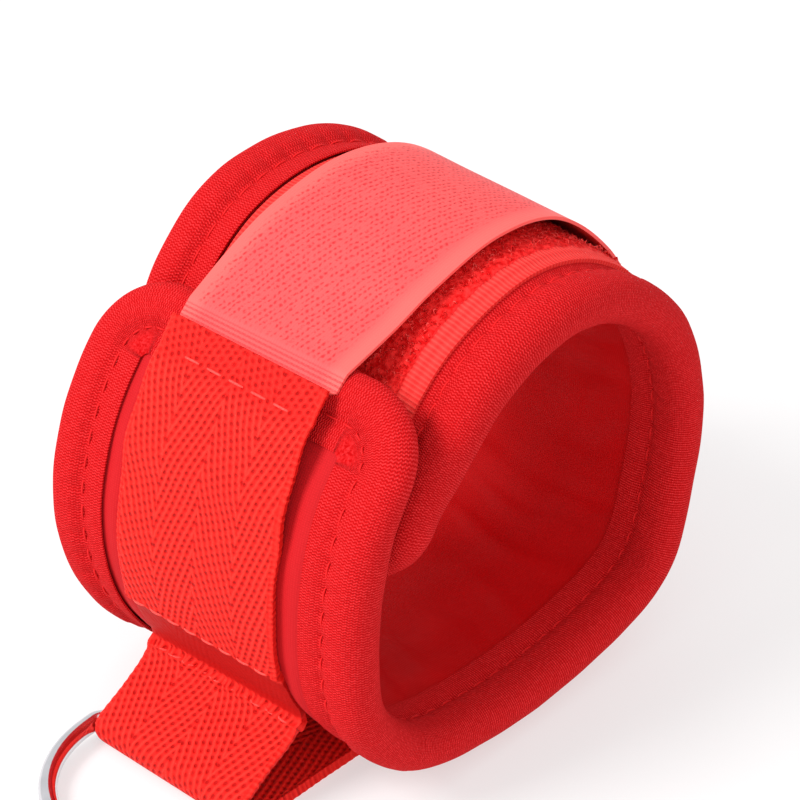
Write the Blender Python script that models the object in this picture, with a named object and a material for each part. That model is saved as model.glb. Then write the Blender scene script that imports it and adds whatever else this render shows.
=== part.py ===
"""Padded wrist cuff with a webbing strap and a D-ring, in metres, +Z up.

X runs along the wrist hole, the D-ring lies towards -Y, and the strap's underside rests on Z = 0.
The band is drawn flat and then wrapped: a place on it is (along, across, height), with along counted
from the inner end's edge roll, across from the middle of the band's width, and height outwards from
the middle of the pad's thickness. place() wraps that flat band round the wrist.
"""

import math

import bmesh
import bpy
from mathutils import Vector

MM = 0.001
GAP = 0.3 * MM

# The two edges of the wrapped band, as (y, z) from the cuff's centre, inner end first.
FAR_RIM = [
    (-34.5, -4.0), (-30.5, 9.0), (-24.5, 23.0), (-13.0, 33.5), (3.0, 36.5), (20.0, 31.8),
    (35.0, 17.0), (43.0, -5.0), (42.0, -23.0), (35.0, -38.5), (14.0, -46.0), (-14.0, -47.2),
    (-34.0, -43.0), (-46.5, -28.0), (-50.0, -9.0), (-44.0, 10.5), (-33.2, 24.8),
]
NEAR_RIM = [
    (-36.0, -3.0), (-32.5, 6.5), (-25.0, 14.5), (-14.0, 24.4), (4.0, 30.0), (19.0, 26.5),
    (33.0, 15.0), (39.5, -3.0), (38.0, -21.0), (32.0, -37.0), (14.0, -44.3), (-14.0, -46.2),
    (-33.0, -42.0), (-45.0, -29.0), (-47.0, -11.0), (-43.0, 8.5), (-32.4, 24.3),
]
CENTRE_Y = 18.35 * MM
CENTRE_Z = 53.0 * MM
STEPS_PER_SPAN = 12

# The band's layers.
RIM_ACROSS = 32.5 * MM
ROLL_RADIUS = 4.3 * MM
ROLL_INSIDE = 3.0 * MM
FLANGE_TOP = 3.7 * MM
FLANGE_REACH = 9.1 * MM
SEAM_REACH = 4.6 * MM
CORNER_RADIUS = 10.7 * MM
FOAM_HALF = 1.7 * MM
FOAM_REACH = 1.6 * MM
SKIN = 0.6 * MM
SKIN_REACH = -0.2 * MM
FACE = FOAM_HALF + GAP + SKIN

# Where things start and stop along the band.
STATION = 6.0 * MM
HINGE_AT = 241.0 * MM
HINGE_GAP = 1.2 * MM
TIP_SQUEEZE = 0.75
SQUEEZE_LENGTH = 26.0 * MM

# Tapes, webbing and thread.
LOOP_TAPE_FAR = -22.8 * MM
LOOP_TAPE_NEAR = 26.0 * MM
LOOP_TAPE_THICK = 1.2 * MM
LOOP_TAPE_START = 20.0 * MM
LOOP_TAPE_END = 138.0 * MM
LOOP_SEAM_START = 35.0 * MM
LOOP_SEAM_END = 134.0 * MM
LOOP_SEAM_FAR = -19.6 * MM
LOOP_SEAM_NEAR = 21.8 * MM
WEB_HALF = 18.4 * MM
WEB_THICK = 1.7 * MM
HOOK_THICK = 0.9 * MM
HOOK_SEWN_LENGTH = 20.0 * MM
ROLL_RAMP = (17.0 * MM, 9.0 * MM)
HOOK_RAMP = (9.0 * MM, 1.0 * MM)
END_ROW_IN = 6.0 * MM
UPPER_ROW_UP = 3.0 * MM
LOWER_ROW_UP = 1.2 * MM
ROW_MARGIN = 2.0 * MM
THREAD_RADIUS = 0.3 * MM

# The closing tape's two edges from its sewn end over the top, as (y, z) from the cuff's centre.
HOOK_FAR = [
    (-33.9, 29.0), (-25.0, 33.9), (-14.0, 38.7), (3.0, 41.8), (20.0, 37.8), (35.6, 25.8), (45.0, 10.0),
]
HOOK_NEAR = [
    (-33.3, 28.6), (-22.0, 32.2), (-12.0, 36.0), (4.0, 39.4), (19.5, 36.8), (34.2, 24.6), (43.9, 9.0),
]

# The ring and the loop of webbing that holds it.
WIRE_RADIUS = 1.7 * MM
RING_RADIUS = 20.4 * MM
RING_STRAIGHT = 4.0 * MM
RING_CORNER = 2.0 * MM
BAR_Y = CENTRE_Y - 58.0 * MM
BAR_Z = WEB_THICK + GAP + WIRE_RADIUS
FOLD_RADIUS = WIRE_RADIUS + GAP + WEB_THICK / 2
STRAP_LEAVES = 235.5 * MM
LOOP_PATH = [(-46.6, -37.4), (-48.6, -40.0), (-53.0, -42.9)]
FOLD_START = 120
STRAP_END_Y = CENTRE_Y + 20.0 * MM
STRAP_FLAT_STEPS = (8.0, 20.0, 34.0, 50.0, 64.0)

FABRIC_RED = (0.75, 0.012, 0.03, 1.0)
BINDING_RED = (0.80, 0.016, 0.035, 1.0)
LINING_RED = (0.36, 0.005, 0.012, 1.0)
WEBBING_RED = (0.93, 0.035, 0.028, 1.0)
LOOP_RED = (0.78, 0.014, 0.02, 1.0)
HOOK_CORAL = (0.95, 0.15, 0.14, 1.0)
THREAD_RED = (0.90, 0.10, 0.09, 1.0)
FOAM_GREY = (0.55, 0.55, 0.55, 1.0)
CHROME = (0.80, 0.80, 0.82, 1.0)


def clear_scene():
    for old in list(bpy.data.objects):
        bpy.data.objects.remove(old)


def finish_of(name, colour, roughness, metallic=0.0):
    material = bpy.data.materials.new(name)
    material.use_nodes = True
    shader = material.node_tree.nodes["Principled BSDF"]
    shader.inputs["Base Color"].default_value = colour
    shader.inputs["Roughness"].default_value = roughness
    shader.inputs["Metallic"].default_value = metallic
    return material


def smooth_line(points, steps=STEPS_PER_SPAN):
    """A curve through the points (centripetal Catmull-Rom), as steps points per span."""
    guide = [2 * points[0] - points[1], *points, 2 * points[-1] - points[-2]]
    found = []
    for p0, p1, p2, p3 in zip(guide, guide[1:], guide[2:], guide[3:]):
        t1 = (p1 - p0).length ** 0.5
        t2 = t1 + (p2 - p1).length ** 0.5
        t3 = t2 + (p3 - p2).length ** 0.5
        for step in range(steps):
            t = t1 + (t2 - t1) * step / steps
            a1 = p0.lerp(p1, t / t1)
            a2 = p1.lerp(p2, (t - t1) / (t2 - t1))
            a3 = p2.lerp(p3, (t - t2) / (t3 - t2))
            b1 = a1.lerp(a2, t / t2)
            b2 = a2.lerp(a3, (t - t1) / (t3 - t1))
            found.append(b1.lerp(b2, (t - t1) / (t2 - t1)))
    return [*found, points[-1]]


def in_place(points):
    """(y, z) pairs in millimetres from the cuff's centre, as points in metres."""
    return [Vector((CENTRE_Y + y * MM, CENTRE_Z + z * MM)) for y, z in points]


def directions(line):
    found = []
    for i in range(len(line)):
        ahead = line[min(i + 1, len(line) - 1)] - line[max(i - 1, 0)]
        found.append(ahead.normalized())
    return found


def lengths(line):
    found = [0.0]
    for a, b in zip(line, line[1:]):
        found.append(found[-1] + (b - a).length)
    return found


FAR = smooth_line(in_place(FAR_RIM))
NEAR = smooth_line(in_place(NEAR_RIM))
FAR_WAY = directions(FAR)
NEAR_WAY = directions(NEAR)
REACHED = lengths([a.lerp(b, 0.5) for a, b in zip(FAR, NEAR)])
TIP_AT = REACHED[-1]


def place(along, across, height):
    """The point in the model of a place on the flat band. Beyond the two ends it runs straight on."""
    inside = min(max(along, 0.0), TIP_AT)
    i = 0
    while i < len(REACHED) - 2 and REACHED[i + 1] < inside:
        i += 1
    share = (inside - REACHED[i]) / (REACHED[i + 1] - REACHED[i])
    side = (across + RIM_ACROSS) / (2 * RIM_ACROSS)
    spot = FAR[i].lerp(FAR[i + 1], share).lerp(NEAR[i].lerp(NEAR[i + 1], share), side)
    way = FAR_WAY[i].lerp(FAR_WAY[i + 1], share).lerp(NEAR_WAY[i].lerp(NEAR_WAY[i + 1], share), side)
    way.normalize()
    spot = spot + way * (along - inside)
    return Vector((across, spot.x - way.y * height, spot.y + way.x * height))


def ease(value, low, high):
    """0 below low, 1 above high, and an even S between."""
    t = min(max((value - low) / (high - low), 0.0), 1.0)
    return t * t * (3 - 2 * t)


def squeeze(along):
    """The share of its thickness that the pad keeps where webbing and tape press on the flap's tip."""
    return 1 - (1 - TIP_SQUEEZE) * ease(along, TIP_AT - SQUEEZE_LENGTH, TIP_AT - ROLL_RADIUS)


def stations(start, stop):
    """start, the whole stations between, and stop: every layer bends at the same places."""
    low, high = min(start, stop), max(start, stop)
    first = math.floor(low / STATION + 0.25) + 1
    last = math.ceil(high / STATION - 0.25) - 1
    found = [low, *(n * STATION for n in range(first, last + 1)), high]
    return found if start < stop else found[::-1]


def add_object(name, mesh, finish, pivot=None):
    piece = bpy.data.objects.new(name, mesh)
    mesh.materials.append(finish)
    bpy.context.scene.collection.objects.link(piece)
    piece.parent = pivot
    return piece


def skin(name, rings, finish, pivot=None):
    """A closed solid through rings of points, each the outline of one cross-section."""
    origin = pivot.location if pivot else Vector((0, 0, 0))
    bm = bmesh.new()
    rows = [[bm.verts.new(p - origin) for p in ring] for ring in rings]
    for row, after in zip(rows, rows[1:]):
        for i in range(len(row)):
            j = (i + 1) % len(row)
            bm.faces.new((row[i], row[j], after[j], after[i]))
    bm.faces.new(rows[0])
    bm.faces.new(rows[-1])
    bmesh.ops.recalc_face_normals(bm, faces=bm.faces[:])
    bmesh.ops.triangulate(bm, faces=bm.faces[:], ngon_method="EAR_CLIP")
    mesh = bpy.data.meshes.new(name)
    bm.to_mesh(mesh)
    bm.free()
    mesh.shade_smooth()
    mesh.set_sharp_from_angle(angle=math.radians(40))
    return add_object(name, mesh, finish, pivot)


def tube(name, points, radius, finish, pivot=None, closed=False, fineness=0):
    """A round wire or thread along points."""
    origin = pivot.location if pivot else Vector((0, 0, 0))
    curve = bpy.data.curves.new(name, "CURVE")
    curve.dimensions = "3D"
    curve.bevel_depth = radius
    curve.bevel_resolution = fineness
    curve.use_fill_caps = True
    spline = curve.splines.new("POLY")
    spline.points.add(len(points) - 1)
    for spot, point in zip(spline.points, points):
        spot.co = (*(point - origin), 1)
    spline.use_cyclic_u = closed
    return add_object(name, curve, finish, pivot)


def pivot_at(name, point):
    empty = bpy.data.objects.new(name, None)
    empty.empty_display_size = 0.02
    empty.location = point
    bpy.context.scene.collection.objects.link(empty)
    return empty


def end_narrowing(distance, radius):
    """How much narrower, on each side, a strip with round corners is at this distance from its end."""
    if distance >= radius:
        return 0.0
    return radius - math.sqrt(max(radius**2 - (radius - distance) ** 2, 0.0))


def layer_stations(start, stop, radius, round_start):
    """Stations with extra ones round the corners of the strip's free end."""
    turns = [radius * (1 - math.cos(math.radians(a))) for a in (15, 35, 55, 75)]
    if round_start:
        rest = [s for s in stations(start, stop) if s > start + radius]
        return [start, *(start + t for t in turns), *rest]
    rest = [s for s in stations(start, stop) if s < stop - radius]
    return [*rest, *(stop - t for t in reversed(turns)), stop]


def pad_layer(name, low, high, reach, flap, finish, pivot=None):
    """One layer of the pad. Its free end has the band's round corners, and its other end is at the hinge."""
    radius = CORNER_RADIUS + reach
    half = RIM_ACROSS + reach
    if flap:
        start, stop = HINGE_AT + HINGE_GAP, TIP_AT + reach
    else:
        start, stop = -reach, HINGE_AT - HINGE_GAP
    rings = []
    for along in layer_stations(start, stop, radius, not flap):
        free = stop - along if flap else along - start
        wide = half - end_narrowing(max(free, 0.2 * MM), radius)
        keep = squeeze(along)
        rings.append([
            place(along, -wide, low * keep), place(along, wide, low * keep),
            place(along, wide, high * keep), place(along, -wide, high * keep),
        ])
    return skin(name, rings, finish, pivot)


def edge_walk(flap):
    """The edge roll's centre line on the flat band, as (along, across, outward along, outward across)."""
    hinge = HINGE_AT + HINGE_GAP if flap else HINGE_AT - HINGE_GAP
    turn = 1 if flap else -1
    bend = TIP_AT - CORNER_RADIUS if flap else CORNER_RADIUS
    inner_half = RIM_ACROSS - CORNER_RADIUS
    walk = [(s, RIM_ACROSS, 0.0, 1.0) for s in stations(hinge, bend)]
    for a in (18, 36, 54, 72, 90):
        c, s = math.cos(math.radians(a)), math.sin(math.radians(a))
        walk.append((bend + turn * CORNER_RADIUS * s, inner_half + CORNER_RADIUS * c, turn * s, c))
    mirrored = [(along, -across, out, -side) for along, across, out, side in reversed(walk)]
    return [*walk, *mirrored]


def binding_section():
    """The folded binding strip in cross-section, as (outward from the roll's centre, height)."""
    bulge = [
        (ROLL_RADIUS * math.cos(math.radians(a)), ROLL_RADIUS * math.sin(math.radians(a)))
        for a in (120, 90, 60, 30, 0)
    ]
    outside = [(-FLANGE_REACH, FLANGE_TOP), *bulge]
    hollow = [(-FLANGE_REACH, ROLL_INSIDE), (0.0, ROLL_INSIDE)]
    hollow.append((ROLL_INSIDE * math.sqrt(0.5), ROLL_INSIDE * math.sqrt(0.5)))
    upper = [*reversed(hollow), *outside]
    lower = [(out, -height) for out, height in reversed(upper)][1:]
    return [(ROLL_INSIDE, 0.0), *upper, *lower]


def edge_binding(name, flap, finish, pivot=None):
    rings = []
    for along, across, out, side in edge_walk(flap):
        keep = squeeze(along)
        rings.append([
            place(along + out * reach, across + side * reach, height * keep)
            for reach, height in binding_section()
        ])
    return skin(name, rings, finish, pivot)


def seam_walk(flap, reach, height):
    """Points of a seam that follows the edge, this far inside the roll's centre line."""
    points = []
    for along, across, out, side in edge_walk(flap):
        spot_along = along - out * reach
        points.append(place(spot_along, across - side * reach, height * squeeze(along) + GAP + THREAD_RADIUS))
    return points


def strip(name, marks, sides, finish, pivot=None):
    """A flat strip between two sides, through marks of (along, underside height, top height)."""
    far, near = sides
    rings = []
    for along, low, high in marks:
        rings.append([
            place(along, far, low), place(along, near, low),
            place(along, near, high), place(along, far, high),
        ])
    return skin(name, rings, finish, pivot)


def cross_row(name, along, half, height, finish, pivot=None):
    """A row of stitching straight across the strap."""
    points = [place(along, half * (n / 4 - 1), height) for n in range(9)]
    return tube(name, points, THREAD_RADIUS, finish, pivot)


def over_roll(along):
    """The height that clears the pad's face and, near the tip, its edge roll."""
    keep = squeeze(along)
    rise = ease(along, TIP_AT - ROLL_RAMP[0], TIP_AT - ROLL_RAMP[1])
    return (FACE + (ROLL_RADIUS - FACE) * rise) * keep + GAP


def over_hook(along):
    """The height that clears the sewn end of the closing tape as well."""
    start = TIP_AT - HOOK_SEWN_LENGTH
    return over_roll(along) + (HOOK_THICK + GAP) * ease(along, start - HOOK_RAMP[0], start - HOOK_RAMP[1])


def sections_along(line, half, thick, shifts=None):
    """Cross-sections of a strap of this thickness whose middle follows a (y, z) line."""
    rings = []
    for i, (spot, way) in enumerate(zip(line, directions(line))):
        out = Vector((way.y, -way.x)) * (thick / 2)
        ring = []
        for side, face in ((-1, -1), (1, -1), (1, 1), (-1, 1)):
            shift = shifts[i] * side if shifts else Vector((0, 0))
            point = spot + out * face + shift
            ring.append(Vector((side * half, point.x, point.y)))
        rings.append(ring)
    return rings


def strap_loop_rings():
    """From the hinge down the wall, out round the ring's bar, and back flat under the cuff."""
    middle = FACE + GAP + WEB_THICK / 2
    wall = [s for s in stations(HINGE_AT - HINGE_GAP, STRAP_LEAVES)]
    rings = []
    for along in wall:
        low, high = FACE + GAP, FACE + GAP + WEB_THICK
        rings.append([
            place(along, -WEB_HALF, low), place(along, WEB_HALF, low),
            place(along, WEB_HALF, high), place(along, -WEB_HALF, high),
        ])
    last = place(STRAP_LEAVES, 0.0, middle)
    before = place(STRAP_LEAVES + STATION, 0.0, middle)
    fold = [
        Vector((BAR_Y, BAR_Z)) + FOLD_RADIUS * Vector((math.cos(math.radians(a)), math.sin(math.radians(a))))
        for a in range(FOLD_START, 271, 15)
    ]
    guide = [Vector((before.y, before.z)), Vector((last.y, last.z)), *in_place(LOOP_PATH), fold[0], fold[1]]
    free = smooth_line(guide, 4)[5:-4]
    flat = [Vector((BAR_Y + s * MM, WEB_THICK / 2)) for s in STRAP_FLAT_STEPS]
    line = [*free, *fold, *flat, Vector((STRAP_END_Y, WEB_THICK / 2))]
    lean = place(STRAP_LEAVES, WEB_HALF, middle) - last
    shifts = []
    for i in range(len(line)):
        shifts.append(Vector((lean.y, lean.z)) * max(0.0, 1 - (i + 1) / len(free)))
    return [*rings, *sections_along(line, WEB_HALF, WEB_THICK, shifts)]


def closing_tape_rings():
    """The free part of the closing tape, straight across between its two edge lines."""
    far, near = smooth_line(in_place(HOOK_FAR), 4), smooth_line(in_place(HOOK_NEAR), 4)
    rings = []
    for a, b, way_a, way_b in zip(far, near, directions(far), directions(near)):
        up_a = Vector((-way_a.y, way_a.x)) * (HOOK_THICK / 2)
        up_b = Vector((-way_b.y, way_b.x)) * (HOOK_THICK / 2)
        corners = [(-1, a - up_a), (1, b - up_b), (1, b + up_b), (-1, a + up_a)]
        rings.append([Vector((side * WEB_HALF, p.x, p.y)) for side, p in corners])
    return rings


def ring_points():
    """The D-ring's wire in its own plane: bar on the X axis, bow towards -Y."""
    corner = RING_RADIUS - RING_CORNER
    points = [Vector((corner * n / 3, 0, 0)) for n in range(-3, 4)]
    for a in (30, 60, 90):
        c, s = math.cos(math.radians(a)), math.sin(math.radians(a))
        points.append(Vector((corner + RING_CORNER * s, RING_CORNER * (c - 1), 0)))
    for a in range(0, 181, 12):
        c, s = math.cos(math.radians(a)), math.sin(math.radians(a))
        points.append(Vector((RING_RADIUS * c, -RING_STRAIGHT - RING_RADIUS * s, 0)))
    for a in (90, 60, 30):
        c, s = math.cos(math.radians(a)), math.sin(math.radians(a))
        points.append(Vector((-corner - RING_CORNER * s, RING_CORNER * (c - 1), 0)))
    return points


def loop_tape_marks():
    """On its near side the loop tape lies over the binding, so it clears the flange."""
    low = FLANGE_TOP + GAP
    return [(s, low, low + LOOP_TAPE_THICK) for s in stations(LOOP_TAPE_START, LOOP_TAPE_END)]


def loop_seam_points():
    """Down one side of the pile, across its end and back up the other side."""
    height = FLANGE_TOP + GAP + LOOP_TAPE_THICK + GAP + THREAD_RADIUS
    sides = stations(LOOP_SEAM_START, LOOP_SEAM_END)
    step = (LOOP_SEAM_FAR - LOOP_SEAM_NEAR) / 6
    near = [place(s, LOOP_SEAM_NEAR, height) for s in sides]
    end = [place(sides[-1], LOOP_SEAM_NEAR + step * n, height) for n in (1, 2, 3, 4, 5)]
    far = [place(s, LOOP_SEAM_FAR, height) for s in reversed(sides)]
    return [*near, *end, *far]


def build_band(fabric, binding, lining, foam, loop, thread):
    pad_layer("band_foam_core", -FOAM_HALF, FOAM_HALF, FOAM_REACH, False, foam)
    pad_layer("band_outer_cover", FOAM_HALF + GAP, FACE, SKIN_REACH, False, fabric)
    pad_layer("band_lining", -FACE, -FOAM_HALF - GAP, SKIN_REACH, False, lining)
    edge_binding("band_edge_binding", False, binding)
    tube("band_binding_thread", seam_walk(False, SEAM_REACH, FLANGE_TOP), THREAD_RADIUS, thread)
    strip("loop_tape", loop_tape_marks(), (LOOP_TAPE_FAR, LOOP_TAPE_NEAR), loop)
    tube("loop_tape_thread", loop_seam_points(), THREAD_RADIUS, thread)


def build_strap(webbing, thread):
    skin("ring_strap", strap_loop_rings(), webbing)
    height = FACE + 2 * GAP + WEB_THICK + THREAD_RADIUS
    cross_row("strap_lower_thread", STRAP_LEAVES + LOWER_ROW_UP, WEB_HALF - ROW_MARGIN, height, thread)


def build_flap(pivot, fabric, binding, lining, foam, webbing, hook, thread):
    pad_layer("flap_foam_core", -FOAM_HALF, FOAM_HALF, FOAM_REACH, True, foam, pivot)
    pad_layer("flap_outer_cover", FOAM_HALF + GAP, FACE, SKIN_REACH, True, fabric, pivot)
    pad_layer("flap_lining", -FACE, -FOAM_HALF - GAP, SKIN_REACH, True, lining, pivot)
    edge_binding("flap_edge_binding", True, binding, pivot)
    seam = seam_walk(True, SEAM_REACH, FLANGE_TOP)
    clear = WEB_HALF + 1.5 * MM
    near_seam = [p for p in seam if p.x > clear]
    far_seam = [p for p in seam if p.x < -clear]
    tube("flap_binding_thread_near", near_seam, THREAD_RADIUS, thread, pivot)
    tube("flap_binding_thread_far", far_seam, THREAD_RADIUS, thread, pivot)
    marks = [(s, over_hook(s), over_hook(s) + WEB_THICK) for s in stations(HINGE_AT + HINGE_GAP, TIP_AT)]
    strip("flap_strap", marks, (-WEB_HALF, WEB_HALF), webbing, pivot)
    sewn = stations(TIP_AT - HOOK_SEWN_LENGTH, TIP_AT)
    marks = [(s, over_roll(s), over_roll(s) + HOOK_THICK) for s in sewn]
    strip("hook_tape_sewn_end", marks, (-WEB_HALF, WEB_HALF), hook, pivot)
    top = WEB_THICK + GAP + THREAD_RADIUS
    half = WEB_HALF - ROW_MARGIN
    end_row = TIP_AT - END_ROW_IN
    cross_row("strap_end_thread", end_row, half, over_hook(end_row) + top + GAP, thread, pivot)
    upper_row = HINGE_AT + UPPER_ROW_UP
    cross_row("strap_upper_thread", upper_row, half, over_hook(upper_row) + top, thread, pivot)


def build_ring(pivot, chrome):
    ring = tube("d_ring", ring_points(), WIRE_RADIUS, chrome, None, True, 2)
    ring.parent = pivot
    lift = BAR_Z - WIRE_RADIUS - 0.05 * MM
    ring.rotation_euler.x = math.asin(lift / (RING_RADIUS + RING_STRAIGHT))
    return ring


def main():
    clear_scene()
    fabric = finish_of("cover_knit", FABRIC_RED, 0.75)
    binding = finish_of("binding_knit", BINDING_RED, 0.85)
    lining = finish_of("lining_fabric", LINING_RED, 0.7)
    foam = finish_of("foam", FOAM_GREY, 0.95)
    webbing = finish_of("webbing", WEBBING_RED, 0.8)
    loop = finish_of("loop_pile", LOOP_RED, 0.95)
    hook = finish_of("hook_tape_back", HOOK_CORAL, 0.6)
    thread = finish_of("thread", THREAD_RED, 0.6)
    chrome = finish_of("chromed_wire", CHROME, 0.12, 1.0)

    flap_hinge = pivot_at("flap_hinge", place(HINGE_AT, 0.0, FACE + GAP + WEB_THICK))
    tape_base = in_place([HOOK_FAR[0]])[0].lerp(in_place([HOOK_NEAR[0]])[0], 0.5)
    tape_hinge = pivot_at("hook_tape_hinge", Vector((0, tape_base.x, tape_base.y)))
    ring_hinge = pivot_at("ring_hinge", Vector((0, BAR_Y, BAR_Z)))

    build_band(fabric, binding, lining, foam, loop, thread)
    build_strap(webbing, thread)
    build_flap(flap_hinge, fabric, binding, lining, foam, webbing, hook, thread)
    skin("hook_tape", closing_tape_rings(), hook, tape_hinge)
    build_ring(ring_hinge, chrome)
    for empty in (flap_hinge, tape_hinge, ring_hinge):
        print(empty.name, [round(v, 5) for v in empty.location])


main()
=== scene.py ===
# %% [markdown]
# # A padded wrist cuff, cut flat and sewn up
# The cuff is textile work round one metal ring, so it is made here as it is in the workroom. Each strip
# is cut flat as a grid, given its cloth's own thickness, and laid round the same two edge lines that the
# solid model follows. The flat cut is kept as a UV map in metres, so every weave runs with its strip.

import math

import bpy
import numpy as np
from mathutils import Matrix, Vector


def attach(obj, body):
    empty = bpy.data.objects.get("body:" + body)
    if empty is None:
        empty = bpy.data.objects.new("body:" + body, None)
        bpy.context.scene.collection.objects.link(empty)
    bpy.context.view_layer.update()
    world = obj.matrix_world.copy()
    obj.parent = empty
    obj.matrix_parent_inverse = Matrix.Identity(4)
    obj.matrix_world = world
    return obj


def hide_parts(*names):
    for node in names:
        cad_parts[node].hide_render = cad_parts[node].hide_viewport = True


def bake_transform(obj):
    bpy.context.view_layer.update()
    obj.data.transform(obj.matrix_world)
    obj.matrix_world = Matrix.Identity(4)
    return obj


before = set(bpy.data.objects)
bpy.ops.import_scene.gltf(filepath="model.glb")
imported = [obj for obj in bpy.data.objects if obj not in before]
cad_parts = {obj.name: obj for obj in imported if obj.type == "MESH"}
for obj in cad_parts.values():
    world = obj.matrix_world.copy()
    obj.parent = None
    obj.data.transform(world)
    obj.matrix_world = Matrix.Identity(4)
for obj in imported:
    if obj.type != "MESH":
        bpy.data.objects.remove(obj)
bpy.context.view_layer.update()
MM = 0.001

# %% [markdown]
# ## The camera
# The cuff is seen from above its ring side and turned to show the wrist hole. A long lens keeps the two
# edges of the band nearly parallel. The camera aims at the middle of the wrap.

# %% Camera
TURN = math.radians(43.0)
RISE = math.radians(32.5)
DISTANCE = 558.6 * MM
CENTRE_Y = 18.35 * MM
CENTRE_Z = 53.0 * MM
aim = Vector((-0.75 * MM, CENTRE_Y, CENTRE_Z))
back = Vector((math.sin(TURN) * math.cos(RISE), -math.cos(TURN) * math.cos(RISE), math.sin(RISE)))
bpy.ops.object.camera_add(location=aim + back * DISTANCE)
camera = bpy.context.object
camera.rotation_euler = (-back).to_track_quat("-Z", "Y").to_euler()
camera.data.lens = 139.5
camera.data.clip_start = 0.05
bpy.context.scene.camera = camera
print("camera at", [round(v, 3) for v in camera.location])

# %% [markdown]
# ## The two edge lines
# A soft wrap is hard to draw in space and easy to draw flat. The band's far and near edges are two smooth
# lines through a few points each, the same ones that the solid model uses. A ribbon between two such lines
# turns a flat place, given as across, along and height, into a place in space.

# %% Edge lines of the band
FAR_RIM = [
    (-34.5, -4.0), (-30.5, 9.0), (-24.5, 23.0), (-13.0, 33.5), (3.0, 36.5), (20.0, 31.8),
    (35.0, 17.0), (43.0, -5.0), (42.0, -23.0), (35.0, -38.5), (14.0, -46.0), (-14.0, -47.2),
    (-34.0, -43.0), (-46.5, -28.0), (-50.0, -9.0), (-44.0, 10.5), (-33.2, 24.8),
]
NEAR_RIM = [
    (-36.0, -3.0), (-32.5, 6.5), (-25.0, 14.5), (-14.0, 24.4), (4.0, 30.0), (19.0, 26.5),
    (33.0, 15.0), (39.5, -3.0), (38.0, -21.0), (32.0, -37.0), (14.0, -44.3), (-14.0, -46.2),
    (-33.0, -42.0), (-45.0, -29.0), (-47.0, -11.0), (-43.0, 8.5), (-32.4, 24.3),
]


def from_centre(points):
    """(y, z) pairs in millimetres from the wrap's middle, as an array in metres in the frame."""
    return np.array(points, float) * MM + np.array([CENTRE_Y, CENTRE_Z])


def smooth_line(points, steps=12):
    """A curve through the points (centripetal Catmull-Rom), as steps places per span."""
    p = np.asarray(points, float)
    guide = np.vstack([2 * p[0] - p[1], p, 2 * p[-1] - p[-2]])
    found = []
    for p0, p1, p2, p3 in zip(guide, guide[1:], guide[2:], guide[3:]):
        t1 = np.linalg.norm(p1 - p0) ** 0.5
        t2 = t1 + np.linalg.norm(p2 - p1) ** 0.5
        t3 = t2 + np.linalg.norm(p3 - p2) ** 0.5
        for t in np.linspace(t1, t2, steps, endpoint=False):
            a1 = p0 + (p1 - p0) * t / t1
            a2 = p1 + (p2 - p1) * (t - t1) / (t2 - t1)
            a3 = p2 + (p3 - p2) * (t - t2) / (t3 - t2)
            b1 = a1 + (a2 - a1) * t / t2
            b2 = a2 + (a3 - a2) * (t - t1) / (t3 - t1)
            found.append(b1 + (b2 - b1) * (t - t1) / (t2 - t1))
    return np.vstack([found, p[-1]])


class Ribbon:
    """A flat strip laid between two edge lines. Height stands off it, outwards."""

    def __init__(self, far, near, half):
        self.far, self.near, self.half = far, near, half
        middle = (far + near) / 2
        steps = np.linalg.norm(np.diff(middle, axis=0), axis=1)
        self.reached = np.concatenate([[0.0], np.cumsum(steps)])
        self.length = self.reached[-1]
        self.far_way = np.gradient(far, self.reached, axis=0)
        self.near_way = np.gradient(near, self.reached, axis=0)

    def blend(self, far, near, along, side):
        columns = []
        for k in (0, 1):
            a = np.interp(along, self.reached, far[:, k])
            b = np.interp(along, self.reached, near[:, k])
            columns.append(a + (b - a) * side)
        return np.stack(columns, axis=-1)

    def at(self, across, along, height):
        across, along, height = np.broadcast_arrays(across, along, height)
        inside = np.clip(along, 0.0, self.length)
        side = (across + self.half) / (2 * self.half)
        spot = self.blend(self.far, self.near, inside, side)
        way = self.blend(self.far_way, self.near_way, inside, side)
        way = way / np.linalg.norm(way, axis=-1, keepdims=True)
        spot = spot + way * (along - inside)[..., None]
        y = spot[..., 0] - way[..., 1] * height
        z = spot[..., 1] + way[..., 0] * height
        return np.stack([across, y, z], axis=-1)


RIM_ACROSS = 32.5 * MM
band = Ribbon(smooth_line(from_centre(FAR_RIM)), smooth_line(from_centre(NEAR_RIM)), RIM_ACROSS)
print("the band is", round(band.length / MM, 1), "mm long between its edge rolls")

# %% [markdown]
# ## Cutting, laying and thickening cloth
# Sewn work starts as flat strips. A strip could be extruded face by face, but then its weave would have no
# even map. A grid at the strip's real size, shaped afterwards as a whole, keeps both the cloth's length and
# its map. Solidify then gives the cloth its thickness, inwards from the side that shows.

# %% Helpers for flat cloth
def deselect():
    if bpy.context.object and bpy.context.object.mode != "OBJECT":
        bpy.ops.object.mode_set(mode="OBJECT")
    bpy.ops.object.select_all(action="DESELECT")


def places(piece):
    found = np.empty(len(piece.data.vertices) * 3, np.float32)
    piece.data.vertices.foreach_get("co", found)
    return found.reshape(-1, 3).astype(float)


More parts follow.
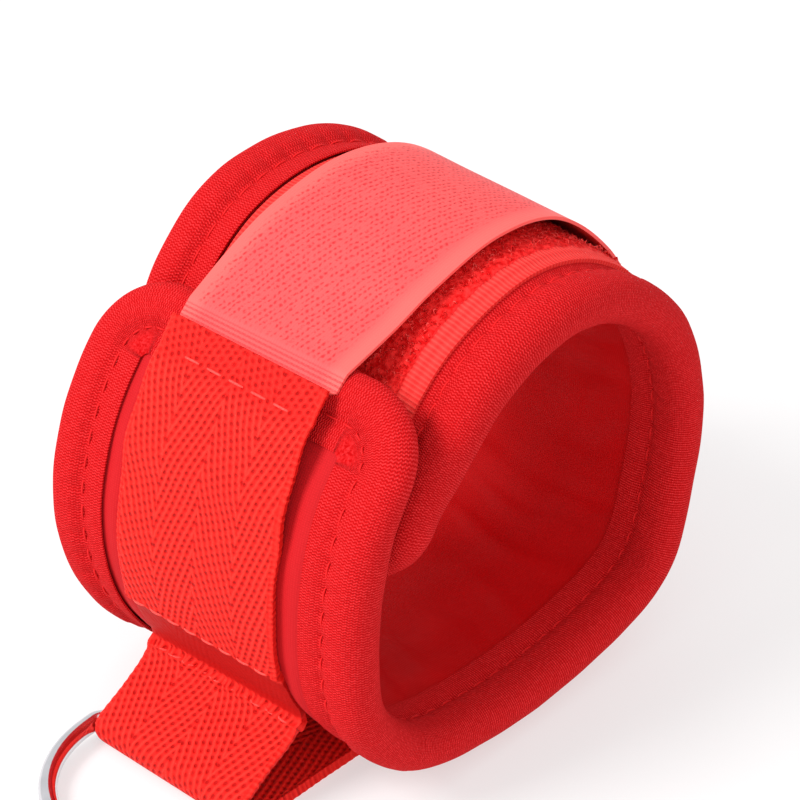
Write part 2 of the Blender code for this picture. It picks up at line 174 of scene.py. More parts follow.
def cut(name, across, along, grain):
    """Flat cloth over across=(low, high) and along=(low, high), with faces of about grain's two sizes."""
    deselect()
    wide, long = across[1] - across[0], along[1] - along[0]
    columns, rows = round(wide / grain[0]), round(long / grain[1])
    bpy.ops.mesh.primitive_grid_add(x_subdivisions=columns, y_subdivisions=rows, size=1)
    cloth = bpy.context.object
    cloth.name = cloth.data.name = name
    bpy.ops.object.mode_set(mode="EDIT")
    bpy.ops.transform.resize(value=(wide, long, 1))
    bpy.ops.transform.translate(value=(sum(across) / 2, sum(along) / 2, 0))
    bpy.ops.object.mode_set(mode="OBJECT")
    corner = np.empty(len(cloth.data.loops), np.int32)
    cloth.data.loops.foreach_get("vertex_index", corner)
    flat = places(cloth)[corner, :2].astype(np.float32)
    cloth.data.uv_layers.active.data.foreach_set("uv", flat.ravel())
    return cloth


def lay(cloth, shape):
    """Moves each flat place (a, b) of the cloth to shape(a, b) in space."""
    flat = places(cloth)
    laid = shape(flat[:, 0], flat[:, 1])
    cloth.data.vertices.foreach_set("co", laid.astype(np.float32).ravel())
    cloth.data.update()


def thicken(cloth, thickness, soft_angle=40):
    solid = cloth.modifiers.new("thickness", "SOLIDIFY")
    solid.thickness = thickness
    solid.offset = -1
    solid.use_even_offset = True
    deselect()
    cloth.select_set(True)
    bpy.context.view_layer.objects.active = cloth
    bpy.ops.object.modifier_apply(modifier=solid.name)
    bpy.ops.object.shade_smooth_by_angle(angle=math.radians(soft_angle))
    print(cloth.name, "has", len(cloth.data.polygons), "faces")


def ease(value, low, high):
    """0 below low, 1 above high, and an even S between."""
    t = np.clip((value - low) / (high - low), 0.0, 1.0)
    return t * t * (3 - 2 * t)


def unevenness(a, b, size, seed):
    """A gentle hand-made irregularity between -1 and 1, with waves of about this size."""
    turns = np.random.default_rng(seed).uniform(0, 2 * np.pi, 6)
    total = np.zeros(np.broadcast(a, b).shape)
    for k, turn in enumerate(turns):
        angle = turn * 1.7 + k
        wave = (a * np.cos(angle) + b * np.sin(angle)) / (size * (0.6 + 0.25 * k))
        total = total + np.sin(2 * np.pi * wave + turn)
    return total / 4


# %% [markdown]
# ## How high each layer lies
# The pad is foam between two cloths. Near the flap's tip the webbing and the closing tape press it thinner,
# and both ramp up over its edge roll. These few heights are shared by every layer, so nothing crosses.

# %% Heights
FOAM_HALF = 1.7 * MM
GAP = 0.3 * MM
SKIN = 0.6 * MM
FACE = FOAM_HALF + GAP + SKIN
ROLL_RADIUS = 4.3 * MM
WEB_HALF = 18.4 * MM
WEB_THICK = 1.7 * MM
HOOK_THICK = 0.9 * MM
HOOK_SEWN = 20.0 * MM
TIP = band.length


def squeeze(along):
    return 1 - 0.25 * ease(along, TIP - 26 * MM, TIP - ROLL_RADIUS)


def over_roll(along):
    rise = ease(along, TIP - 17 * MM, TIP - 9 * MM)
    return (FACE + (ROLL_RADIUS - FACE) * rise) * squeeze(along) + GAP


def over_hook(along):
    start = TIP - HOOK_SEWN
    return over_roll(along) + (HOOK_THICK + GAP) * ease(along, start - 9 * MM, start - 1 * MM)


SPLIT = 222 * MM
HINGE = 241 * MM
BEND_FROM, BEND_TO = band.at(0.0, HINGE - 13 * MM, 0.0), band.at(0.0, HINGE + 13 * MM, 0.0)
print("the flap bends from", BEND_FROM.round(4), "to", BEND_TO.round(4))


def bends(piece):
    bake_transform(piece)


# %% [markdown]
# ## The padded band: cover, foam and lining
# The cover swells a little beside the strap, where nothing presses it. The lining is on the inside of the
# curve, so it has cloth to spare and gathers into soft wrinkles across the band. Each layer is cut in two
# at the same place, because the flap's part has to turn with the flap.

# %% The pad's layers
PAD_ACROSS = (-31 * MM, 31 * MM)
PAD_END = 1.5 * MM


def cover_height(across, along):
    swell = 0.45 * MM * np.exp(-((np.abs(across) - 20.8 * MM) / (1.6 * MM)) ** 2)
    free = ease(along, 200 * MM, 212 * MM)
    uneven = 0.12 * MM * unevenness(across, along, 16 * MM, 3)
    to_edge = np.minimum(RIM_ACROSS - np.abs(across), np.minimum(along, TIP - along))
    tuck = 0.30 * MM * (1 - ease(to_edge, 7.0 * MM, 8.6 * MM))
    return (FACE + swell * free - tuck) * squeeze(along) + uneven * ease(np.abs(across), 18 * MM, 20 * MM)


def lining_height(across, along):
    inner = np.clip(1 - (np.abs(across) / (27 * MM)) ** 4, 0, 1)
    drift = 0.35 * unevenness(across, along, 38 * MM, 5)
    folds = 0.5 + 0.5 * np.sin(2 * np.pi * (along / (11.5 * MM) + drift))
    puffs = folds**2 * 0.55 * MM + 0.35 * MM * unevenness(across, along, 21 * MM, 8)
    return -(FACE + inner * np.clip(puffs, 0, None)) * squeeze(along)


def foam_height(across, along):
    return FOAM_HALF * squeeze(along)


def pad_layer(name, along, height, thickness, node):
    cloth = cut(name, PAD_ACROSS, along, (1.0 * MM, 1.0 * MM))
    lay(cloth, lambda a, b: band.at(a, b, height(a, b)))
    thicken(cloth, thickness)
    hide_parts(node)
    return cloth


CUFF_ALONG = (PAD_END, SPLIT)
FLAP_ALONG = (SPLIT, TIP - PAD_END)
cuff_cover = pad_layer("cuff_cover", CUFF_ALONG, cover_height, SKIN, "band_outer_cover")
flap_cover = pad_layer("flap_cover", FLAP_ALONG, cover_height, SKIN, "flap_outer_cover")
cuff_foam = pad_layer("cuff_foam", CUFF_ALONG, foam_height, 3.2 * MM, "band_foam_core")
flap_foam = pad_layer("flap_foam", FLAP_ALONG, foam_height, 2.5 * MM, "flap_foam_core")


# %% The lining shows its other side
def lining(name, along, node):
    cloth = cut(name, PAD_ACROSS, along, (0.8 * MM, 0.8 * MM))
    lay(cloth, lambda a, b: band.at(a, b, lining_height(a, b)))
    bpy.ops.object.mode_set(mode="EDIT")
    bpy.ops.mesh.select_all(action="SELECT")
    bpy.ops.mesh.flip_normals()
    bpy.ops.object.mode_set(mode="OBJECT")
    thicken(cloth, SKIN)
    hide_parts(node)
    return cloth


cuff_lining = lining("cuff_lining_cloth", CUFF_ALONG, "band_lining")
flap_lining = lining("flap_lining_cloth", FLAP_ALONG, "flap_lining")

# %% [markdown]
# ## The edge binding
# A knit strip is folded round the band's edge over a filling, and one row of stitches pulls it down on both
# faces. That makes a plump roll, a puckered groove and a flat flange. The strip is cut to its real width,
# folded by its cross-section, and run round the edge, with the groove pinched at every stitch.

# %% The binding's cross-section
STITCH_PITCH = 4.5 * MM
BINDING_THICK = 0.42 * MM
CORNER = 10.7 * MM
fold_points = [
    (-9.3, 3.45), (-8.0, 3.6), (-6.2, 3.5), (-5.0, 3.12), (-4.4, 3.05), (-3.3, 3.5), (-1.9, 4.05),
    (-0.2, 4.3), (1.6, 3.98), (3.1, 2.95), (4.02, 1.5), (4.3, 0.0),
]
FOLD_STEPS = 8
GROOVE_POINT = 4
lower_half = [(x, -h) for x, h in reversed(fold_points[:-1])]
fold_line = smooth_line([*fold_points, *lower_half], FOLD_STEPS) * MM
fold_reach = np.concatenate([[0.0], np.cumsum(np.linalg.norm(np.diff(fold_line, axis=0), axis=1))])
STRIP_WIDTH = fold_reach[-1]
GROOVE = fold_reach[GROOVE_POINT * FOLD_STEPS]
fold_way = np.gradient(fold_line, fold_reach, axis=0)
fold_out = np.stack([-fold_way[:, 1], fold_way[:, 0]], axis=1)
print("binding strip is", round(STRIP_WIDTH / MM, 1), "mm wide, groove at", round(GROOVE / MM, 1))


def edge_path(run, flap):
    """Along a U round the band's end: (along, across, outward along, outward across, turned)."""
    straight = (TIP - SPLIT if flap else SPLIT) - CORNER
    quarter = CORNER * math.pi / 2
    tip = 2 * (RIM_ACROSS - CORNER)
    edges = np.cumsum([straight, quarter, tip, quarter])
    first = np.clip((run - edges[0]) / quarter, 0, 1) * math.pi / 2
    second = np.clip((run - edges[2]) / quarter, 0, 1) * math.pi / 2
    turned = first + second
    inner = RIM_ACROSS - CORNER
    level = np.clip(run, None, edges[0]) - np.clip(run - edges[3], 0, None)
    side = np.clip(inner - (run - edges[1]), -inner, inner)
    side = np.where(run < edges[1], inner, side)
    out_level, out_side = np.sin(turned), np.cos(turned)
    along = level + CORNER * out_level
    across = side + CORNER * out_side
    if flap:
        return SPLIT + along, across, out_level, out_side, turned
    return SPLIT - along, -across, -out_level, -out_side, turned


def edge_length(flap):
    straight = (TIP - SPLIT if flap else SPLIT) - CORNER
    return 2 * straight + CORNER * math.pi + 2 * (RIM_ACROSS - CORNER)


def pinch(run):
    """1 at each stitch's end, where the thread pulls the cloth down, and 0 between."""
    return 1 - np.abs(np.sin(np.pi * run / STITCH_PITCH)) ** 0.8


def on_edge(fold, run, flap, lift=0.0, puckered=True):
    """The place of (fold round the cross-section, run along the edge)."""
    along, across, out_along, out_across, turned = edge_path(run, flap)
    out = np.interp(fold, fold_reach, fold_line[:, 0])
    height = np.interp(fold, fold_reach, fold_line[:, 1])
    push_out = np.interp(fold, fold_reach, fold_out[:, 0])
    push_up = np.interp(fold, fold_reach, fold_out[:, 1])
    mirrored = np.minimum(fold, STRIP_WIDTH - fold)
    seam = np.exp(-((mirrored - GROOVE) / (0.9 * MM)) ** 2)
    shoulder = np.exp(-((mirrored - GROOVE - 2.2 * MM) / (1.3 * MM)) ** 2)
    bulge = -0.44 * MM * seam * pinch(run) + 0.34 * MM * shoulder * (1 - pinch(run))
    bulge = bulge + 0.10 * MM * unevenness(fold, run, 17 * MM, 11) * ease(mirrored, GROOVE, GROOVE + 4 * MM)
    corner = np.sin(2 * turned) ** 2
    flange = ease(-mirrored, -GROOVE, -1.0 * MM)
    bulge = bulge + 0.16 * MM * corner * flange * np.sin(turned * 9)
    raised = 0.75 * MM * ease(-across, 20 * MM, 30 * MM) * ease(-fold, -2.6 * MM, -0.4 * MM)
    bulge = bulge * puckered + lift + raised * (not flap)
    out = out + push_out * bulge
    height = (height + push_up * bulge) * squeeze(along)
    return band.at(across + out_across * out, along + out_along * out, height)


def binding(name, flap, node):
    cloth = cut(name, (0.0, STRIP_WIDTH), (0.0, edge_length(flap)), (0.7 * MM, 0.5 * MM))
    lay(cloth, lambda a, b: on_edge(a, b, flap))
    thicken(cloth, BINDING_THICK)
    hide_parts(node)
    return cloth


cuff_binding = binding("cuff_binding", False, "band_edge_binding")
flap_binding = binding("flap_binding", True, "flap_edge_binding")

# %% [markdown]
# ## Stitches
# A machine stitch shows as a short float of thread that dives into the cloth at both ends. One float is
# modelled from a small cylinder, and every row copies it along its own line, each copy bent down at its
# ends. A row is one piece.

# %% One stitch, and rows of it
deselect()
bpy.ops.mesh.primitive_cylinder_add(
    vertices=6, radius=0.5, depth=1, end_fill_type="TRIFAN", rotation=(0, math.pi / 2, 0)
)
stitch = bpy.context.object
bpy.ops.object.transform_apply(location=False, rotation=True)
bpy.ops.object.mode_set(mode="EDIT")
for cut_at in (-0.4, -0.2, 0.0, 0.2, 0.4):
    bpy.ops.mesh.select_all(action="SELECT")
    bpy.ops.mesh.bisect(plane_co=(cut_at, 0, 0), plane_no=(1, 0, 0))
bpy.ops.object.mode_set(mode="OBJECT")
stitch_shape = places(stitch)
stitch_faces = [tuple(face.vertices) for face in stitch.data.polygons]
bpy.data.objects.remove(stitch)
print("one stitch has", len(stitch_faces), "faces")


def stitch_row(name, starts, ends, up, thickness=0.38 * MM, dive=0.42 * MM, bow=0.08 * MM):
    """One float of thread from each start to its end, standing on the cloth whose outward side is up."""
    starts, ends, up = (np.asarray(values, float) for values in (starts, ends, up))
    way = ends - starts
    long = np.linalg.norm(way, axis=1, keepdims=True)
    way = way / long
    side = np.cross(up, way)
    side /= np.linalg.norm(side, axis=1, keepdims=True)
    lift = np.cross(way, side)
    x, y, z = stitch_shape.T
    narrow = np.sqrt(np.clip(1 - (2 * x) ** 6, 0.15, 1))
    raise_by = thickness * z * narrow + bow - (dive + bow) * (2 * x) ** 4
    copies = (
        (starts + ends)[:, None] / 2
        + way[:, None] * (x * 1.06)[None, :, None] * long[:, None]
        + side[:, None] * (thickness * y * narrow)[None, :, None]
        + lift[:, None] * raise_by[None, :, None]
    )
    count, size = len(starts), len(stitch_shape)
    faces = [tuple(v + n * size for v in face) for n in range(count) for face in stitch_faces]
    mesh = bpy.data.meshes.new(name)
    mesh.from_pydata(copies.reshape(-1, 3).tolist(), [], faces)
    row = bpy.data.objects.new(name, mesh)
    bpy.context.collection.objects.link(row)
    mesh.shade_smooth()
    print(name, "has", count, "stitches")
    return row


def row_on(name, surface, start, stop, pitch, fill=0.8, **kind):
    """Stitches of one row: surface(run, lift) is the cloth's place at a run along the row."""
    count = round((stop - start) / pitch)
    begin = start + (stop - start) * (np.arange(count) + (1 - fill) / 2) / count
    end = begin + (stop - start) * fill / count
    middle = (begin + end) / 2
    up = surface(middle, 1 * MM) - surface(middle, 0.0)
    return stitch_row(name, surface(begin, 0.0), surface(end, 0.0), up, **kind)


def along_groove(fold, flap):
    """The groove's line on one face of the binding, at this place round its cross-section."""
    return lambda run, lift: on_edge(
        np.full_like(run, fold), run, flap, lift=lift + 0.05 * MM, puckered=False
    )


def binding_row(name, flap):
    """The binding's stitches on both faces, joined as one piece."""
    start, stop = 0.6 * MM, edge_length(flap) - 0.6 * MM
    rows = [
        row_on(f"{name}_{number}", along_groove(fold, flap), start, stop, STITCH_PITCH, fill=0.68)
        for number, fold in enumerate((GROOVE, STRIP_WIDTH - GROOVE))
    ]
    deselect()
    for row in rows:
        row.select_set(True)
    bpy.context.view_layer.objects.active = rows[0]
    bpy.ops.object.join()
    rows[0].name = name
    return rows[0]


cuff_binding_stitches = binding_row("cuff_binding_stitches", False)
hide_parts("band_binding_thread")
flap_binding_stitches = binding_row("flap_binding_stitches", True)
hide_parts("flap_binding_thread_near", "flap_binding_thread_far")

# %% [markdown]
# ## The loop tape
# The soft half of the closure is a tape with a ribbed selvage on both sides and a field of little loops
# between. The tape itself is a cut strip that lies over the binding's flange. The loops are modelled as one
# small hoop, copied over the field with a leaning and a height that vary, as brushed loops do.

# %% Loop tape
LOOP_FAR, LOOP_NEAR = -22.8 * MM, 26.0 * MM
SEAM_FAR, SEAM_NEAR = -19.6 * MM, 21.8 * MM
LOOP_TOP = 5.2 * MM
LOOP_TAPE_THICK = 0.75 * MM
LOOP_ALONG = (20 * MM, 138 * MM)
SEAM_ALONG = (35 * MM, 134 * MM)
LOOP_PITCH = 4.4 * MM


def loop_height(across, along):
    """The tape's face: rough in its field, pulled down along its seams, and bent down at both sides."""
    to_seam = np.minimum(SEAM_NEAR - across, across - SEAM_FAR)
    seam = np.exp(-((to_seam / (0.55 * MM)) ** 2))
    stitched = 0.6 + 0.4 * np.cos(2 * np.pi * along / LOOP_PITCH)
    rough = 0.16 * MM * unevenness(across, along, 2.1 * MM, 21) * ease(to_seam, 0.0, 1.2 * MM)
    tucked = 1.2 * MM * ease(-across, 19.0 * MM, 22.6 * MM) + 0.42 * MM * ease(across, 23.2 * MM, 25.4 * MM)
    sink = 0.30 * MM * ease(-to_seam, 0.0, 1 * MM) + tucked
    return LOOP_TOP - 0.15 * MM - sink - 0.45 * MM * seam * stitched + rough


loop_tape = cut("loop_tape_cloth", (LOOP_FAR, LOOP_NEAR), LOOP_ALONG, (0.5 * MM, 0.6 * MM))
lay(loop_tape, lambda a, b: band.at(a, b, loop_height(a, b)))
thicken(loop_tape, LOOP_TAPE_THICK)
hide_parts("loop_tape")

# %% The field of loops
random = np.random.default_rng(41)
LOOP_COUNT = 5600
HOOP_HALF, HOOP_TALL = 0.42, 0.9
hoop_turn = np.linspace(0, math.pi, 5)
hoop_round = np.linspace(0, 2 * math.pi, 3, endpoint=False)
hoop = np.array([
    [
        HOOP_HALF * math.cos(t) * (1 + 0.22 * math.cos(r)),
        0.22 * HOOP_HALF * math.sin(r),
        HOOP_TALL * math.sin(t) * (1 + 0.16 * math.cos(r)),
    ]
    for t in hoop_turn for r in hoop_round
])
hoop_faces = [
    (3 * k + r, 3 * k + (r + 1) % 3, 3 * k + 3 + (r + 1) % 3, 3 * k + 3 + r)
    for k in range(len(hoop_turn) - 1) for r in range(3)
] + [(2, 1, 0), (12, 13, 14)]
spots = np.stack([
    random.uniform(SEAM_FAR + 0.6 * MM, SEAM_NEAR - 0.5 * MM, LOOP_COUNT),
    random.uniform(SEAM_ALONG[0] - 14 * MM, SEAM_ALONG[1] - 1 * MM, LOOP_COUNT),
], axis=1)
lean = random.uniform(-0.7, 0.7, len(spots))
twist = random.uniform(0, 2 * math.pi, len(spots))
tall = random.uniform(0.25, 0.75, len(spots)) * MM
tall = tall * (1 + 0.6 * ease(spots[:, 0], 18.8 * MM, 19.6 * MM))
wide = random.uniform(0.5, 0.95, len(spots)) * MM
hx = hoop[None, :, 0] * wide[:, None]
hy = hoop[None, :, 1] * wide[:, None] + hoop[None, :, 2] * tall[:, None] * np.sin(lean)[:, None]
pile_across = spots[:, :1] + hx * np.cos(twist)[:, None] - hy * np.sin(twist)[:, None]
pile_along = spots[:, 1:] + hx * np.sin(twist)[:, None] + hy * np.cos(twist)[:, None]
pile_rise = hoop[None, :, 2] * tall[:, None] * np.cos(lean)[:, None]
pile_height = loop_height(spots[:, :1], spots[:, 1:]) - 0.12 * MM + pile_rise
pile_places = band.at(pile_across, pile_along, pile_height).reshape(-1, 3)
pile_mesh = bpy.data.meshes.new("loop_pile")
pile_mesh.from_pydata(
    pile_places.tolist(), [],
    [tuple(v + n * len(hoop) for v in face) for n in range(len(spots)) for face in hoop_faces],
)
pile_mesh.shade_smooth()
loop_pile = bpy.data.objects.new("loop_pile", pile_mesh)
bpy.context.collection.objects.link(loop_pile)
print("the field has", len(spots), "loops of", len(hoop_faces), "faces")

# %% The row that sews the tape down
seam_side = SEAM_ALONG[1] - SEAM_ALONG[0]
seam_run = 2 * seam_side + SEAM_NEAR - SEAM_FAR


def loop_seam(run, lift):
    across = SEAM_NEAR - np.clip(run - seam_side, 0, SEAM_NEAR - SEAM_FAR)
    along = SEAM_ALONG[0] + np.clip(run, 0, seam_side) - np.clip(run + seam_side - seam_run, 0, None)
    return band.at(across, along, LOOP_TOP - 0.45 * MM + lift)


loop_stitches = row_on("loop_tape_stitches", loop_seam, 0.0, seam_run, LOOP_PITCH, fill=0.75)
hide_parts("loop_tape_thread")

# %% [markdown]
# ## The webbing strap
# One length of webbing lies flat under the cuff, turns round the ring's bar, climbs the cuff's wall and
# ends on the flap. It is woven, thick and rather stiff. Two rows of stitches hold it to the wall, and the
# webbing between them is drawn in, so it lies lower and smoother there. Its own two edge lines carry it
# from one end to the other, and its relief is part of how it is laid.

# %% The strap's two edge lines
BAR_Y = CENTRE_Y - 58 * MM
BAR_Z = 3.7 * MM
FOLD_RADIUS = 2.85 * MM
LEAVES = 235.5 * MM
wall_middle = FACE + GAP + WEB_THICK / 2
last, before = band.at(0.0, LEAVES, wall_middle)[1:], band.at(0.0, LEAVES + 6 * MM, wall_middle)[1:]
turn = np.radians(np.arange(120, 271, 7.5))
fold = np.stack([BAR_Y + FOLD_RADIUS * np.cos(turn), BAR_Z + FOLD_RADIUS * np.sin(turn)], axis=1)
loop_path = from_centre([(-46.6, -37.4), (-48.6, -40.0), (-53.0, -42.9)])
free = smooth_line(np.vstack([before, last, loop_path, fold[:2]]), 12)[13:-13]
flat_run = np.linspace(BAR_Y, CENTRE_Y + 20 * MM, 40)[1:]
flat = np.stack([flat_run, np.full(len(flat_run), WEB_THICK / 2)], axis=1)
lower = np.vstack([free, fold, flat])[::-1]
side_step = band.at(WEB_HALF, LEAVES, wall_middle)[1:] - last
share = np.clip(1 - (np.arange(len(lower))[::-1] + 1) / len(free), 0, 1)[:, None]
wall_along = np.arange(LEAVES, TIP + 0.1 * MM, 1.0 * MM)
wall_height = over_hook(wall_along) + WEB_THICK / 2
strap = Ribbon(
    np.vstack([lower - side_step * share, band.at(-WEB_HALF, wall_along, wall_height)[:, 1:]]),
    np.vstack([lower + side_step * share, band.at(WEB_HALF, wall_along, wall_height)[:, 1:]]),
    WEB_HALF,
)
WALL_RUN = strap.length - (TIP - LEAVES)
print("webbing:", round(strap.length / MM, 1), "mm long, the wall starts at", round(WALL_RUN / MM, 1))

# %% Laying the webbing
UPPER_ROW = strap.length - (TIP - 240.7 * MM)
LOWER_ROW = strap.length - (TIP - 228.2 * MM)
END_ROW = strap.length - 6 * MM


def strap_relief(across, run):
    """How far the webbing's face lies above its plain thickness."""
    edge = np.abs(across) / WEB_HALF
    rounded = -0.35 * MM * np.clip((edge - 0.93) / 0.07, 0, 1) ** 2
    lumps = np.abs(np.sin(np.pi * across / (3.5 * MM) + 0.5 * unevenness(across, run * 0, 15 * MM, 31)))
    scallop = np.abs(np.sin(np.pi * across / (4.2 * MM)))
    lip = UPPER_ROW + 0.5 * MM * scallop
    brow = LOWER_ROW - 0.9 * MM * (1 - lumps)
    valley = ease(run, brow - 0.5 * MM, brow + 0.6 * MM) * (1 - ease(run, lip - 0.5 * MM, lip + 0.1 * MM))
    floor_drop = 0.60 * MM + 0.45 * MM * ease(lip - run, 0.8 * MM, 4.0 * MM)
    brow_lump = 0.50 * MM * lumps * np.exp(-((run - brow + 1.0 * MM) / (0.9 * MM)) ** 2)
    lip_lump = 0.30 * MM * scallop * np.exp(-((run - lip - 0.6 * MM) / (0.7 * MM)) ** 2)
    pressed = -0.25 * MM * np.exp(-((run - END_ROW) / (0.8 * MM)) ** 2)
    return rounded - valley * floor_drop + brow_lump + lip_lump + pressed


def strap_edge(across, run):
    """The woven edge goes in and out a little with every weft."""
    wave = 0.06 * MM * np.sin(2 * np.pi * run / (1.7 * MM))
    wave = wave + 0.22 * MM * unevenness(run, run * 0, 23 * MM, 17)
    return across + np.sign(across) * wave * ease(np.abs(across), 17 * MM, WEB_HALF)


webbing = cut("webbing_strap", (-WEB_HALF, WEB_HALF), (0.0, strap.length), (0.6 * MM, 0.45 * MM))
lay(webbing, lambda a, b: strap.at(strap_edge(a, b), b, WEB_THICK / 2 + strap_relief(a, b)))
thicken(webbing, WEB_THICK - 0.1 * MM)
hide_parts("ring_strap", "flap_strap")


# %% Rows of stitches on the webbing
def across_strap(run_at):
    return lambda run, lift: strap.at(run, run_at, WEB_THICK / 2 + strap_relief(run, run_at) + lift)


ROW_HALF = WEB_HALF - 1.6 * MM
thick_thread = {"thickness": 0.5 * MM, "bow": 0.16 * MM}
end_stitches = row_on(
    "strap_end_stitches", across_strap(END_ROW), -12.6 * MM, 13.6 * MM, 4.9 * MM, fill=0.72, **thick_thread
)
upper_stitches = row_on(
    "strap_upper_stitches", across_strap(UPPER_ROW + 0.9 * MM), -ROW_HALF, ROW_HALF, 4.2 * MM, **thick_thread
)
lower_stitches = row_on(
    "strap_lower_stitches", across_strap(LOWER_ROW - 0.8 * MM), -ROW_HALF, ROW_HALF, 3.5 * MM, **thick_thread
)
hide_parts("strap_end_thread")
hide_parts("strap_upper_thread")
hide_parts("strap_lower_thread")

# %% [markdown]
# ## The closing tape
# The hook half of the closure is a thin stiff tape, sewn under the webbing's end and laid over the loop
# tape. Its plain back shows. It is one cut strip, with its edges very slightly wavy, as a cut tape lies.

# %% Hook tape
TAPE_THICK = 0.6 * MM
HOOK_FAR = [
    (-33.9, 29.0), (-25.0, 33.9), (-14.0, 38.7), (3.0, 41.8), (20.0, 37.8), (35.6, 25.8), (45.0, 10.0),
]
HOOK_NEAR = [
    (-33.3, 28.6), (-22.0, 32.2), (-12.0, 36.0), (4.0, 39.4), (19.5, 36.8), (34.2, 24.6), (43.9, 9.0),
]
sewn_along = np.arange(TIP - HOOK_SEWN, TIP - 3 * MM, 1.0 * MM)
sewn_height = over_roll(sewn_along) + HOOK_THICK / 2
far_free, near_free = smooth_line(from_centre(HOOK_FAR)), smooth_line(from_centre(HOOK_NEAR))
tape = Ribbon(
    np.vstack([band.at(-WEB_HALF, sewn_along, sewn_height)[:, 1:], far_free]),
    np.vstack([band.at(WEB_HALF, sewn_along, sewn_height)[:, 1:], near_free]),
    WEB_HALF,
)
TAPE_BASE = tape.reached[len(sewn_along)]
print("closing tape:", round(tape.length / MM, 1), "mm long, free from", round(TAPE_BASE / MM, 1))


def tape_height(across, run):
    loose = ease(run, TAPE_BASE, TAPE_BASE + 12 * MM)
    return TAPE_THICK / 2 + 0.12 * MM * loose * unevenness(across, run, 34 * MM, 51)


def tape_across(across, run):
    sewn = 0.16 * (1 - ease(run, TAPE_BASE - 4.8 * MM, TAPE_BASE - 3.4 * MM))
    return across * (1 - sewn + 0.004 * unevenness(run, run * 0, 30 * MM, 61))


hook_tape = cut("closing_tape", (-WEB_HALF, WEB_HALF), (0.0, tape.length), (0.6 * MM, 0.6 * MM))
lay(hook_tape, lambda a, b: tape.at(tape_across(a, b), b, tape_height(a, b)))
thicken(hook_tape, TAPE_THICK)
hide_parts("hook_tape", "hook_tape_sewn_end")

# %% [markdown]
# ## The ring
# The D-ring is bent from round chromed wire, with its ends welded in the middle of the straight bar. A
# curve with a round bevel gives true wire. The weld is a small swelling, hidden in the strap's loop.

# %% D-ring
WIRE = 1.7 * MM
RING_RADIUS, RING_STRAIGHT, RING_CORNER = 20.4 * MM, 4.0 * MM, 2.0 * MM
flat_end = RING_RADIUS - RING_CORNER
corner_turn = np.radians(np.arange(10, 91, 10))
bow_turn = np.radians(np.arange(0, 181, 3))
bar = np.stack([np.linspace(-flat_end, flat_end, 41), np.zeros(41)], axis=1)
right = np.stack([np.sin(corner_turn), np.cos(corner_turn) - 1], axis=1) * RING_CORNER + (flat_end, 0.0)
bow = np.stack([RING_RADIUS * np.cos(bow_turn), -RING_STRAIGHT - RING_RADIUS * np.sin(bow_turn)], axis=1)
left = right[::-1] * (-1, 1)
wire_line = np.vstack([bar, right, bow, left])
wire_curve = bpy.data.curves.new("ring_wire", "CURVE")
wire_curve.dimensions = "3D"
wire_curve.bevel_depth = WIRE
wire_curve.bevel_resolution = 8
wire_curve.use_fill_caps = False
spline = wire_curve.splines.new("POLY")
spline.points.add(len(wire_line) - 1)
spline.use_cyclic_u = True
tilt = math.asin((BAR_Z - WIRE - 0.05 * MM) / (RING_RADIUS + RING_STRAIGHT))
for point, (x, y) in zip(spline.points, wire_line):
    point.co = (x, BAR_Y + y * math.cos(tilt), BAR_Z + y * math.sin(tilt), 1)
    point.radius = 1 + 0.06 * math.exp(-((x / (1.2 * MM)) ** 2)) * (abs(y) < 1e-9)
ring = bpy.data.objects.new("ring", wire_curve)
bpy.context.collection.objects.link(ring)
deselect()
ring.select_set(True)
bpy.context.view_layer.objects.active = ring
bpy.ops.object.convert(target="MESH")
ring = bpy.context.object
bpy.ops.object.shade_smooth()
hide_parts("d_ring")
print("ring:", len(ring.data.polygons), "faces")

# %% [markdown]
# ## What moves with what
# The cuff's own pieces ride on the cuff, the webbing's end stitches on the flap and the ring on its own
# body. The flap's other pieces and the closing tape are baked where they lie; the stretches over which they
# would bend are worked out and printed.

# %% Moving pieces
cuff_pieces = [
    cuff_cover, cuff_foam, cuff_lining, cuff_binding, cuff_binding_stitches,
    loop_tape, loop_pile, loop_stitches, lower_stitches,
]
for piece in cuff_pieces:
    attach(piece, "cuff")
bending_pieces = [
    flap_cover, flap_foam, flap_lining, flap_binding, flap_binding_stitches, webbing, upper_stitches,
]
for piece in bending_pieces:
    bends(piece)
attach(end_stitches, "flap")
tape_from, tape_to = tape.at(0.0, TAPE_BASE - 1 * MM, 0.0), tape.at(0.0, TAPE_BASE + 8 * MM, 0.0)
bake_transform(hook_tape)
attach(ring, "ring")
print("closing tape bends from", tape_from.round(4), "to", tape_to.round(4))

# %% [markdown]
# ## Finishes
# Every finish is worked out from the piece's own flat map in millimetres, so a rib is as wide as a rib.
# Node trees are hard to read, so a small helper lets each pattern be written as arithmetic. A uniform
# value, such as a plain roughness, is set on the shader itself.

